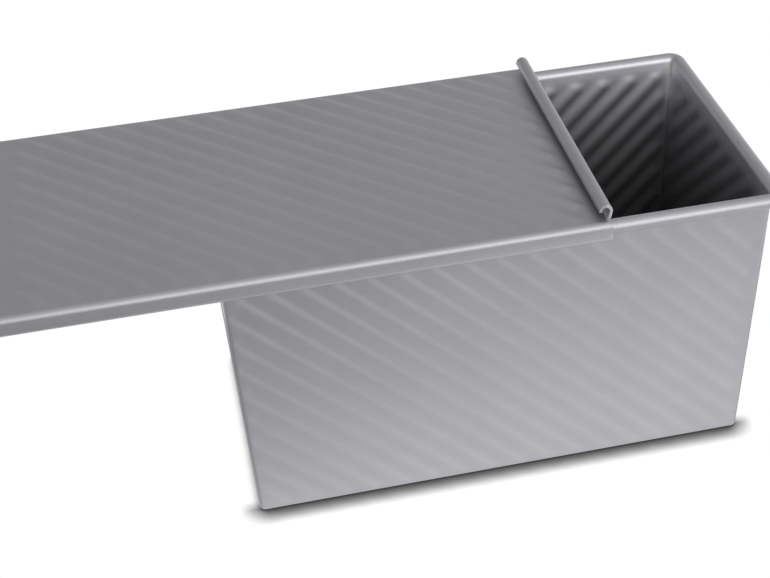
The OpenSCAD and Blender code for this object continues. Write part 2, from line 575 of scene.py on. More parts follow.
class RibPress:
    """Geometry Nodes tree that presses parallel ribs into a sheet.

    Each point carries its place on its panel, its panel's window and the direction
    in which the rib stands. The tree works out how far the nearest rib lifts it.

    Attributes:
        FIELDS: Names of the numbers that each point carries.
        INPUTS: Names of the tree's sizes.
    """

    FIELDS = ("place_u", "place_v", "rib_half", "rib_spread", "rib_low", "rib_high")
    INPUTS = ("Pitch", "Slope", "Height", "Shortest rib", "Crown shift")

    def __init__(self, rule: RibRule) -> None:
        """Builds the tree.

        Args:
            rule: The pattern of the ribs.
        """
        self.rule = rule
        self.tree = bpy.data.node_groups.new("press_ribs", "GeometryNodeTree")
        face = self.tree.interface
        face.new_socket("Sheet", in_out="INPUT", socket_type="NodeSocketGeometry")
        for name in self.INPUTS:
            face.new_socket(name, in_out="INPUT", socket_type="NodeSocketFloat")
        face.new_socket("Finish", in_out="INPUT", socket_type="NodeSocketMaterial")
        face.new_socket("Sheet", in_out="OUTPUT", socket_type="NodeSocketGeometry")
        self._fill(NodeBuilder(self.tree))

    def _fill(self, build: NodeBuilder) -> None:
        """Adds the nodes of the rule.

        Args:
            build: Builder of the tree.
        """
        ask = build.add("NodeGroupInput")
        pitch, slope, height, shortest, shift = (
            Signal(build, ask.outputs[name]) for name in self.INPUTS
        )
        u, v, half, spread, low, high = (
            build.out(
                "GeometryNodeInputNamedAttribute",
                {"data_type": "FLOAT"},
                {"Name": name},
            )
            for name in self.FIELDS
        )
        sine, cosine = build.math("SINE", slope), build.math("COSINE", slope)
        across = u * sine + v * cosine
        along = u * cosine - v * sine
        centre = (build.math("FLOOR", across / pitch) + 0.5) * pitch

        right = (half - centre * (sine - spread * cosine)) / (cosine + spread * sine)
        left = (half + centre * (sine + spread * cosine)) / (spread * sine - cosine)
        head = (centre * cosine - high) / sine
        foot = (centre * cosine - low) / sine
        far = build.math("MINIMUM", right, foot)
        near = build.math("MAXIMUM", left, head)

        past = build.math("MAXIMUM", along - far, near - along)
        past = build.math("MAXIMUM", past, 0.0)
        aside = across - centre - shift
        above = aside > 0.0
        slack = pitch * 0.5 + shift * (1.0 - 2.0 * above)
        aside = aside * (pitch * 0.5 / slack)
        reach = build.math("SQRT", aside * aside + past * past)
        share = build.math("MINIMUM", reach / pitch, 0.5)
        wave = 0.5 + 0.5 * build.math("COSINE", share * (2.0 * math.pi))
        crown = wave * (far - near > shortest)

        normal = build.out(
            "GeometryNodeInputNamedAttribute",
            {"data_type": "FLOAT_VECTOR"},
            {"Name": "rib_normal"},
        )
        lift = build.out(
            "ShaderNodeVectorMath",
            {"operation": "SCALE"},
            {0: normal, "Scale": crown * height},
        )
        pressed = build.out(
            "GeometryNodeSetPosition",
            sockets={"Geometry": Signal(build, ask.outputs["Sheet"]), "Offset": lift},
        )
        kept = build.out(
            "GeometryNodeStoreNamedAttribute",
            {"data_type": "FLOAT", "domain": "POINT"},
            {"Geometry": pressed, "Name": "crown", "Value": crown},
        )
        real = build.out("GeometryNodeRealizeInstances", sockets={"Geometry": kept})
        finish = Signal(build, ask.outputs["Finish"])
        done = build.out(
            "GeometryNodeSetMaterial", sockets={"Geometry": real, "Material": finish}
        )
        build.add("NodeGroupOutput", sockets={"Sheet": done})

    def press(
        self,
        obj: bpy.types.Object,
        height: float,
        shift: float,
        finish: bpy.types.Material,
    ) -> None:
        """Adds the tree to an object as a modifier, with its inputs set.

        Args:
            obj: The sheet's middle surface.
            height: Height of the ribs in millimetres.
            shift: Shift of the ribs' crowns off their middle, in millimetres.
            finish: Material of the sheet.
        """
        ids = {
            item.name: item.identifier
            for item in self.tree.interface.items_tree
            if item.in_out == "INPUT"
        }
        values = {
            "Pitch": self.rule.pitch * MM,
            "Slope": math.radians(self.rule.slope),
            "Height": height * MM,
            "Shortest rib": self.rule.shortest * MM,
            "Crown shift": shift * MM,
            "Finish": finish,
        }
        modifier = obj.modifiers.new("ribs", "NODES")
        modifier.node_group = self.tree
        for name, value in values.items():
            modifier[ids[name]] = value


# ---------------------------------------------------------------- sheet metal
@dataclass(frozen=True)
class Place:
    """Where a flat panel lies.

    Attributes:
        origin: Place of the panel's own zero, in millimetres.
        right: Direction to the right, seen from outside.
        up: Direction up the panel.
        rib: Direction in which the ribs stand.
    """

    origin: Vector
    right: Vector
    up: Vector
    rib: Vector


class Panel:
    """A flat panel of a sheet whose mesh lines follow the ribs.

    Attributes:
        END_STEPS: Places of a line's points from each of its ends, in millimetres.
        END_SHARE: Most of a line's length that the points of one end may take.
        MIDDLE: Count of points between those of the two ends.
        CLEAR: Least distance from a corner's line to the next, in gaps between lines.
    """

    END_STEPS = (0.0, 2.4, 4.0, 5.1, *(6.0 + 0.9 * i for i in range(11)))
    END_SHARE = 0.46
    MIDDLE = 3
    CLEAR = 0.35

    def __init__(
        self, sheet: "Sheet", place: Place, corners: Sequence[Point2], window: Window
    ) -> None:
        """Makes the panel's points and faces in a sheet.

        Args:
            sheet: The sheet that the panel is part of.
            place: Where the panel lies.
            corners: Corners of the convex outline, anticlockwise from outside.
            window: The part that ribs fill.
        """
        self.sheet, self.place, self.window = sheet, place, window
        self.corners = list(corners)
        self.border: list[tuple[Point2, bmesh.types.BMVert]] = []
        step, run = sheet.rule.step, sheet.rule.run
        knots = [u * step[0] + v * step[1] for u, v in corners]
        first, last = min(knots), max(knots)
        gap = sheet.rule.pitch / sheet.rule.lines_a_pitch
        lines = sorted(k for k in set(knots) if first + SAME < k < last - SAME)
        regular = [
            i * gap for i in range(math.ceil(first / gap), math.floor(last / gap) + 1)
        ]
        clear = self.CLEAR * gap
        lines += [c for c in regular if min(abs(c - k) for k in knots) > clear]
        grid = [self._line(c, step, run) for c in sorted(lines)]
        sheet.loft(grid)
        for knot, row in ((first, grid[0]), (last, grid[-1])):
            tip = self._point(self.corners[knots.index(knot)], on_border=True)
            for a, b in zip(row, row[1:]):
                sheet.face(tip, a, b)

    def _line(self, c: float, step: Point2, run: Point2) -> Row:
        """Makes the points of one line along the ribs.

        Args:
            c: Place of the line, measured across the ribs.
            step: Direction square to the ribs.
            run: Direction along the ribs.

        Returns:
            The points, from border to border.
        """
        hits = []
        for a, b in zip(self.corners, self.corners[1:] + self.corners[:1]):
            ca, cb = (p[0] * step[0] + p[1] * step[1] - c for p in (a, b))
            if abs(ca - cb) > TINY and ca * cb <= TOUCH:
                t = min(max(ca / (ca - cb), 0.0), 1.0)
                u, v = (a[i] + t * (b[i] - a[i]) for i in (0, 1))
                hits.append(u * run[0] + v * run[1])
        low, high = min(hits), max(hits)
        span = high - low
        squeeze = min(1.0, self.END_SHARE * span / self.END_STEPS[-1])
        ends = [squeeze * e for e in self.END_STEPS]
        inner = [
            ends[-1] + (span - 2.0 * ends[-1]) * (i + 1) / (self.MIDDLE + 1)
            for i in range(self.MIDDLE)
        ]
        offsets = ends + inner + [span - e for e in reversed(ends)]
        row = []
        for i, offset in enumerate(offsets):
            u, v = (c * step[k] + (low + offset) * run[k] for k in (0, 1))
            row.append(self._point((u, v), on_border=i in (0, len(offsets) - 1)))
        return row

    def _point(self, uv: Point2, on_border: bool) -> bmesh.types.BMVert:
        """Makes one point of the panel.

        Args:
            uv: Place on the panel.
            on_border: Whether the point is kept for the panel's sides.

        Returns:
            The point.
        """
        where = self.place.origin + uv[0] * self.place.right + uv[1] * self.place.up
        vert = self.sheet.point(where, uv, self.window, self.place.rib)
        if on_border:
            self.border.append((uv, vert))
        return vert

    def edge(self, index: int) -> Row:
        """Points along one side of the outline.

        Args:
            index: Number of the corner where the side starts.

        Returns:
            The side's points, from that corner to the next.
        """
        a = Vector(self.corners[index])
        along = Vector(self.corners[(index + 1) % len(self.corners)]) - a
        length = along.length
        along /= length
        found = []
        for uv, vert in self.border:
            rel = Vector(uv) - a
            t = rel.dot(along)
            if abs(rel.cross(along)) < ON_SIDE and -ON_SIDE < t < length + ON_SIDE:
                found.append((t, vert))
        return [vert for _, vert in sorted(found, key=lambda pair: pair[0])]


class Sheet:
    """Middle surface of a folded sheet, while it is being made."""

    def __init__(self, rule: RibRule) -> None:
        """Starts an empty sheet.

        Args:
            rule: The pattern of the ribs, which the mesh lines follow.
        """
        self.rule = rule
        self.mesh = bmesh.new()
        layers = self.mesh.verts.layers
        self.numbers = [layers.float.new(name) for name in RibPress.FIELDS]
        self.seam = layers.float.new("seam")
        self.normal = layers.float_vector.new("rib_normal")

    def point(
        self,
        where: Vector,
        uv: Point2 = (0.0, 0.0),
        window: Window = NO_RIBS,
        rib: Vector = DOWN,
        seam: float = 0.0,
    ) -> bmesh.types.BMVert:
        """Adds a point.

        Args:
            where: Place in millimetres.
            uv: Place on its panel.
            window: Its panel's part for ribs.
            rib: Direction in which ribs stand there.
            seam: Share of the butt seam's depth at the point.

        Returns:
            The new point.
        """
        vert = self.mesh.verts.new(where * MM)
        values = (*uv, window.half, window.spread, window.low, window.high)
        for layer, value, name in zip(self.numbers, values, RibPress.FIELDS):
            vert[layer] = value if name == "rib_spread" else value * MM
        vert[self.seam] = seam
        vert[self.normal] = rib
        return vert

    def face(self, *verts: bmesh.types.BMVert) -> None:
        """Adds one face."""
        self.mesh.faces.new(verts)

    def loft(self, rows: Sequence[Row], closed: bool = False) -> None:
        """Fills the space between rows of equal count.

        Args:
            rows: The rows, in order.
            closed: Whether each row joins its own start.
        """
        for upper, lower in zip(rows, rows[1:]):
            count = len(upper)
            for i in range(count if closed else count - 1):
                j = (i + 1) % count
                self.face(upper[i], upper[j], lower[j], lower[i])

    def zip(self, a: Row, b: Row) -> None:
        """Fills the space between two rows of any count with triangles.

        Args:
            a: First row.
            b: Second row, in the same direction.
        """
        ta, tb = self._shares(a), self._shares(b)
        i = j = 0
        while i < len(a) - 1 or j < len(b) - 1:
            take_a = j == len(b) - 1 or (
                i < len(a) - 1 and ta[i + 1] + ta[i] <= tb[j + 1] + tb[j]
            )
            if take_a:
                self.face(a[i], a[i + 1], b[j])
                i += 1
            else:
                self.face(a[i], b[j + 1], b[j])
                j += 1

    @staticmethod
    def _shares(row: Row) -> list[float]:
        """Measures along a row.

        Args:
            row: The row.

        Returns:
            The length up to each point, as a share of the whole.
        """
        total, found = 0.0, [0.0]
        for p, q in zip(row, row[1:]):
            total += (q.co - p.co).length
            found.append(total)
        return [t / total for t in found]

    def finish(
        self,
        name: str,
        press: RibPress,
        height: float,
        shift: float,
        thick: float,
        bevel: float,
        finish: bpy.types.Material,
    ) -> bpy.types.Object:
        """Turns the middle surface into a sheet of real thickness.

        Args:
            name: Name of the piece.
            press: Tree that presses the ribs.
            height: Height of the ribs.
            shift: Shift of the ribs' crowns.
            thick: Thickness of the sheet.
            bevel: Width of the softened cut edges.
            finish: Material of the sheet.

        Returns:
            The piece, as one plain mesh.
        """
        bmesh.ops.recalc_face_normals(self.mesh, faces=self.mesh.faces[:])
        draft = bpy.data.meshes.new(name + "_middle")
        self.mesh.to_mesh(draft)
        self.mesh.free()
        for polygon in draft.polygons:
            polygon.use_smooth = True
        rough = new_object(name + "_middle", draft)
        press.press(rough, height, shift, finish)
        solid = rough.modifiers.new("thickness", "SOLIDIFY")
        solid.thickness = thick * MM
        solid.offset = 0.0
        solid.use_even_offset = True
        solid.use_quality_normals = True
        soft = rough.modifiers.new("soft_edges", "BEVEL")
        soft.width = bevel * MM
        soft.segments = BEVEL_STEPS
        soft.limit_method = "ANGLE"
        soft.angle_limit = math.radians(BEVEL_ANGLE)
        graph = bpy.context.evaluated_depsgraph_get()
        mesh = bpy.data.meshes.new_from_object(rough.evaluated_get(graph))
        mesh.name = name
        bpy.data.objects.remove(rough)
        bpy.data.meshes.remove(draft)
        mesh.set_sharp_from_angle(angle=math.radians(SHARP_ANGLE))
        return new_object(name, mesh)


def slerp(a: Vector, b: Vector, share: float) -> Vector:
    """Direction between two unit directions.

    Args:
        a: First direction.
        b: Second direction.
        share: 0 gives the first, 1 the second.

    Returns:
        A unit direction.
    """
    angle = a.angle(b)
    if angle < TINY:
        return a.copy()
    rest = math.sin((1.0 - share) * angle) * a + math.sin(share * angle) * b
    return rest / math.sin(angle)


# ---------------------------------------------------------------- tub
@dataclass
class Tub:
    """Folded sheet tub with ribbed walls and base and a rolled rim.

    Attributes:
        rule: Pattern of the ribs.
        low: Lowest corner of the tub's box.
        high: Highest corner of the tub's box.
        lean: How far each wall leans in between the rim and the base.
        thick: Thickness of the sheet.
        fold_r: Inside radius of the folds.
        rim_r: Outside radius of the rolled rim.
        rim_wrap: Turn of the sheet round the wire in degrees.
        rib_h: Height of the ribs.
        rib_shift: Shift of the ribs' crowns off their middle.
        rib_half_w: Half width of a rib at the sheet.
        side_border: Plain border beside the corners.
        top_border: Plain border under the rim.
        foot_border: Plain border over the base.
        bevel: Width of the softened cut edges.
        seam_depth: Depth of the butt seam at each corner.
        seam_turn: Place of the seam round the fold, in degrees from the long wall.
        seam_fades: Lengths over which the seam fades out at its foot and its top.
        fold_turns: Places of the fold's mesh lines in degrees from the long wall.
        fold_rows: Places of a foot fold's mesh lines, as shares of its turn.
        fold_ramp: How fast the painted highlight of an inner fold sets in from its
            edge.
        rim_step: Turn from one mesh line of the rim to the next, in degrees.
        rim_straights: Mesh steps along the rim's long sides; the short ones have half.
        painted_light_inside: Painted light and shade inside, against the height:
            lighter under the rim, darker towards the base.
        painted_fold_highlight: Painted highlight on the inner folds between the walls,
            against the height.
        painted_corner_light: Painted light on the walls beside the inner folds, against
            the height.
        corner_reach: How far the last one fades along the walls.
        rim_polish_and_highlight: How polished the top of the rim is, and how much a
            painted highlight lightens it.
    """

    rule: RibRule
    low: Vector
    high: Vector
    lean: float = 3.5
    thick: float = 1.0
    fold_r: float = 1.2
    rim_r: float = 2.65
    rim_wrap: float = 300.0
    rib_h: float = 0.55
    rib_shift: float = -0.9
    rib_half_w: float = 2.02
    side_border: float = 2.0
    top_border: float = 1.5
    foot_border: float = 1.0
    bevel: float = 0.12
    seam_depth: float = 0.35
    seam_turn: float = 33.0
    seam_fades: Point2 = (1.0, 0.5)
    fold_turns: tuple[float, ...] = (0, 12, 24, 29, 33, 37, 48, 60, 75, 90)
    fold_rows: tuple[float, ...] = (0.2, 0.4, 0.6, 0.8)
    fold_ramp: float = 3.0
    rim_step: float = 12.0
    rim_straights: int = 14
    painted_light_inside: tuple[Point2, ...] = (
        (0.0, -0.4),
        (50.0, -0.35),
        (80.0, -0.1),
        (98.0, 0.1),
        (105.0, 0.2),
        (108.0, 0.6),
        (109.5, 0.8),
        (111.0, 0.42),
        (112.0, 0.2),
    )
    painted_fold_highlight: tuple[Point2, ...] = (
        (92.0, 0.0),
        (100.0, 0.6),
        (107.0, 1.3),
        (109.0, 0.0),
    )
    painted_corner_light: tuple[Point2, ...] = (
        (80.0, 0.0),
        (100.0, 1.0),
        (109.0, 1.3),
        (112.0, 0.0),
    )
    corner_reach: float = 5.0
    rim_polish_and_highlight: float = 0.3

    def __post_init__(self) -> None:
        """Works out the sizes that follow from the others."""
        self.half_l = self.high.x / MM - 2.0 * self.rim_r
        self.half_w = self.high.y / MM - 2.0 * self.rim_r
        self.rim_z = self.high.z / MM - self.rim_r
        self.tilt = math.atan(self.lean / self.rim_z)
        self.middle_r = self.fold_r + self.thick / 2.0
        self.foot_z = self.fold_r + self.thick

    def build(self, press: RibPress, finish: bpy.types.Material) -> bpy.types.Object:
        """Builds the tub as one piece.

        Args:
            press: Tree that presses the ribs.
            finish: Material of the sheet.

        Returns:
            The finished piece.
        """
        sheet = Sheet(self.rule)
        walls = [self._wall(sheet, turn) for turn in range(4)]
        base = self._base(sheet)
        feet = [self._foot(sheet, walls[k], k, base) for k in range(4)]
        corners = [self._corner(sheet, walls, feet, base, k) for k in range(4)]
        self._rim(sheet, walls, corners)
        obj = sheet.finish(
            "tub", press, self.rib_h, self.rib_shift, self.thick, self.bevel, finish
        )
        self._cut_seams(obj.data)
        self._mark_inside(obj.data)
        keep_in_box(obj.data, self.low, self.high)
        return obj

    def _mark_inside(self, mesh: bpy.types.Mesh) -> None:
        """Stores painted light and shade inside, and the polish and painted highlight
        of the rim's top.

        The inside is painted lighter under the rim and at the tops of the inner
        corners, and darker towards the base, as shade where less light reaches. The lid
        polishes the top of the rim as it slides, and a painted highlight lightens it.

        Args:
            mesh: The tub's mesh.
        """
        places = np.abs(read_points(mesh).T) / MM
        across, z = places[:2], places[2]
        lift = read_numbers(mesh, "crown") * self.rib_h
        drop = (self.rim_z - z) * math.tan(self.tilt)
        wall = np.array(((self.half_l,), (self.half_w,))) - drop
        past = across - (wall + self.thick / 2.0) + lift
        inside = (past < 0.0).all(axis=0) & (z > self.thick / 2.0 + lift)
        fold = np.clip(across - (wall - self.fold_r), 0.0, None).min(axis=0)
        fold = np.clip(fold / self.fold_r * self.fold_ramp, 0.0, 1.0)
        away = np.hypot(*np.clip(wall - across, 0.0, None))
        beside = np.exp(-away / self.corner_reach)
        # Painted light and shade inside: lighter under the rim and at the tops of the
        # inner corners, darker towards the base.
        shade = np.interp(z, *zip(*self.painted_light_inside))
        shade += fold * np.interp(z, *zip(*self.painted_fold_highlight))
        shade += beside * np.interp(z, *zip(*self.painted_corner_light))
        write_numbers(mesh, "painted_light_inside", np.where(inside, shade, 0.0))
        # Polish and a painted highlight on the top of the rim.
        rim = np.clip((z - self.rim_z) / self.rim_r, 0.0, 1.0) * self.rim_polish_and_highlight
        write_numbers(mesh, "edge_wear_and_highlight", rim)

    @staticmethod
    def _spin(turn: int) -> Matrix:
        """Turn from the near wall to another, counted anticlockwise from above."""
        return Matrix.Rotation(turn * math.pi / 2.0, 3, "Z")

    def _frame(self, turn: int) -> tuple[Vector, Vector, Vector, float, float]:
        """Works out how a wall stands.

        Args:
            turn: Number of the wall, from the near one anticlockwise.

        Returns:
            The wall's right, up and outward directions, its half length and its
            distance from the middle.
        """
        spin = self._spin(turn)
        sine, cosine = math.sin(self.tilt), math.cos(self.tilt)
        up = spin @ Vector((0.0, -sine, cosine))
        out = spin @ Vector((0.0, -cosine, -sine))
        half, away = self.half_l, self.half_w
        if turn % 2:
            half, away = away, half
        return spin @ RIGHT, up, out, half, away

    def _wall(self, sheet: Sheet, turn: int) -> Panel:
        """Makes the flat part of one wall.

        Args:
            sheet: The tub's sheet.
            turn: Number of the wall.

        Returns:
            The wall.
        """
        right, up, out, half, away = self._frame(turn)
        start = self._spin(turn) @ Vector((0.0, -away, 0.0))
        start.z = self.rim_z
        sine, cosine = math.sin(self.tilt), math.cos(self.tilt)
        bottom = (self.foot_z - self.fold_r * sine - self.rim_z) / cosine
        head = half - self.fold_r * cosine
        foot = head + bottom * sine
        slant = self.rim_z / cosine
        low = -slant + self.foot_z + self.foot_border
        high = -self.rim_r - self.top_border
        inset = self.side_border + self.rib_half_w
        window = self._window(half, inset, low, high)
        place = Place(start + out * (self.thick / 2.0), right, up, -out)
        outline = [(-foot, bottom), (foot, bottom), (head, 0.0), (-head, 0.0)]
        return Panel(sheet, place, outline, window)

    def _window(self, half: float, inset: float, low: float, high: float) -> Window:
        """Works out a wall's window, as the solid's own rule has it.

        Args:
            half: Half the wall's length at the rim.
            inset: Plain part beside the window.
            low: Lower end of the ribs.
            high: Upper end of the ribs.

        Returns:
            The window.
        """
        tan = math.tan(self.tilt)
        foot_half, head_half = half + low * tan - inset, half + high * tan - inset
        low, high = low + self.rib_half_w, high - self.rib_half_w
        spread = (head_half - foot_half) / (high - low)
        return Window(foot_half - low * spread, spread, low, high)

    def _base(self, sheet: Sheet) -> Panel:
        """Makes the flat part of the base.

        Args:
            sheet: The tub's sheet.

        Returns:
            The base.
        """
        cosine, tan = math.cos(self.tilt), math.tan(self.tilt)
        drop = (self.rim_z - self.foot_z) * tan + self.fold_r / cosine
        x, y = self.half_l - drop, self.half_w - drop
        inset = self.fold_r + self.side_border + (self.rim_z - self.thick) * tan
        rib_x, rib_y = self.half_l - inset, self.half_w - inset
        place = Place(Vector((0.0, 0.0, self.thick / 2.0)), RIGHT, -BACK, UP)
        outline = [(-x, -y), (x, -y), (x, y), (-x, y)]
        return Panel(sheet, place, outline, Window(rib_x, 0.0, -rib_y, rib_y))

    def _foot(self, sheet: Sheet, wall: Panel, turn: int, base: Panel) -> list[Row]:
        """Makes the fold between a wall and the base.

        Args:
            sheet: The tub's sheet.
            wall: The wall.
            turn: Number of the wall.
            base: The base.

        Returns:
            The rows of the fold, from the wall down, without the base's own.
        """
        out = self._frame(turn)[2]
        edge = wall.edge(0)
        rows = [edge]
        for share in self.fold_rows:
            shift = (slerp(out, DOWN, share) - out) * self.middle_r
            rows.append([sheet.point(v.co / MM + shift) for v in edge])
        sheet.loft(rows)
        sheet.zip(rows[-1], self._base_edge(base, turn))
        return rows

    @staticmethod
    def _base_edge(base: Panel, turn: int) -> Row:
        """Side of the base under a wall, in the wall's own direction."""
        return base.edge((2, 1, 0, 3)[turn])[::-1]

    def _corner(
        self,
        sheet: Sheet,
        walls: list[Panel],
        feet: list[list[Row]],
        base: Panel,
        turn: int,
    ) -> Row:
        """Makes the fold between a wall and the next, and the round corner under it.

        Args:
            sheet: The tub's sheet.
            walls: The four walls.
            feet: The rows of the four folds at the base.
            base: The base.
            turn: Number of the wall.

        Returns:
            The points at the top of the fold, from wall to wall.
        """
        following = (turn + 1) % 4
        here, there = self._frame(turn)[2], self._frame(following)[2]
        turns, seam_turn = self.fold_turns, self.seam_turn
        if turn % 2:
            turns = [90.0 - t for t in reversed(turns)]
            seam_turn = 90.0 - seam_turn
        edge = walls[turn].edge(1)
        target = walls[following].edge(3)[::-1]
        columns = [edge]
        for angle in turns[1:-1]:
            shift = (slerp(here, there, angle / 90.0) - here) * self.middle_r
            on_seam = angle == seam_turn
            column = []
            for vert in edge:
                seam = self._seam_share(vert) if on_seam else 0.0
                column.append(sheet.point(vert.co / MM + shift, seam=seam))
            columns.append(column)
        sheet.loft(columns)
        sheet.zip(columns[-1], target)

        centre = edge[0].co / MM - here * self.middle_r
        rows = [[column[0] for column in columns] + [target[0]]]
        for i, share in enumerate(self.fold_rows):
            row = [feet[turn][i + 1][-1]]
            for angle in turns[1:-1]:
                side = slerp(here, there, angle / 90.0)
                row.append(
                    sheet.point(centre + slerp(side, DOWN, share) * self.middle_r)
                )
            row.append(feet[following][i + 1][0])
            rows.append(row)
        sheet.loft(rows)
        pole = self._base_edge(base, turn)[-1]
        for a, b in zip(rows[-1], rows[-1][1:]):
            sheet.face(a, b, pole)
        return [column[-1] for column in columns] + [target[-1]]

    def _seam_share(self, vert: bmesh.types.BMVert) -> float:
        """Works out how deep the seam is at a point's height.

        Args:
            vert: The point.

        Returns:
            The share of the seam's depth, none at its two ends.
        """
        z = vert.co.z / MM
        above = (z - self.foot_z) / self.seam_fades[0]
        below = (self.rim_z - self.rim_r - z) / self.seam_fades[1]
        return min(max(min(above, below), 0.0), 1.0)

    def _rim(self, sheet: Sheet, walls: list[Panel], corners: list[Row]) -> None:
        """Makes the rolled rim, from the tops of the walls round the wire.

        Args:
            sheet: The tub's sheet.
            walls: The four walls.
            corners: The tops of the four folds between them.
        """
        steps = round(self.rim_wrap / self.rim_step)
        loops: list[list[Row]] = []
        for i in range(1, steps + 1):
            angle = math.radians(180.0 - i * self.rim_wrap / steps)
            radius = self.rim_r - self.thick / 2.0
            offset = self.rim_r + radius * math.cos(angle)
            z = self.rim_z + radius * math.sin(angle)
            loops.append(self._loop(sheet, offset, z))
        first = loops[0]
        for turn in range(4):
            straight, bend = first[2 * turn], first[2 * turn + 1]
            following = first[(2 * turn + 2) % 8]
            sheet.zip(walls[turn].edge(2)[::-1], straight)
            sheet.zip(corners[turn], [straight[-1], *bend, following[0]])
        flat = [[vert for part in loop for vert in part] for loop in loops]
        sheet.loft(flat, closed=True)

    def _loop(self, sheet: Sheet, offset: float, z: float) -> list[Row]:
        """Makes one turn round the rim: a straight and a corner for each wall.

        Args:
            sheet: The tub's sheet.
            offset: Distance outward from the walls' inner face.
            z: Height.

        Returns:
            Eight rows: straight, corner, straight and so on.
        """
        parts: list[Row] = []
        for turn in range(4):
            spin = self._spin(turn)
            half, away = self._frame(turn)[3:]
            reach = half - self.fold_r
            count = self.rim_straights if turn % 2 == 0 else self.rim_straights // 2
            straight = []
            for i in range(count + 1):
                x = reach * (2.0 * i / count - 1.0)
                straight.append(sheet.point(spin @ Vector((x, -away - offset, z))))
            bend = []
            for degrees in self.fold_turns[1:-1]:
                a = math.radians(degrees - 90.0)
                r = self.fold_r + offset
                x, y = reach + r * math.cos(a), -away + self.fold_r + r * math.sin(a)
                bend.append(sheet.point(spin @ Vector((x, y, z))))
            parts += [straight, bend]
        return parts

    def _cut_seams(self, mesh: bpy.types.Mesh) -> None:
        """Sinks the outer side of each corner's seam line.

        Args:
            mesh: The tub's mesh.
        """
        share = read_numbers(mesh, "seam")
        points = read_points(mesh) / MM
        tan, cosine = math.tan(self.tilt), math.cos(self.tilt)
        for i in np.nonzero(share > 0.0)[0]:
            x, y, z = points[i]
            drop = (self.rim_z - z) * tan + self.fold_r / cosine
            axis_x = math.copysign(self.half_l - drop, x)
            axis_y = math.copysign(self.half_w - drop, y)
            out = Vector((x, y, z)) - Vector((axis_x, axis_y, z))
            if out.length > self.middle_r:
                depth = self.seam_depth * float(share[i])
                mesh.vertices[int(i)].co -= out.normalized() * depth * MM
        mesh.update()


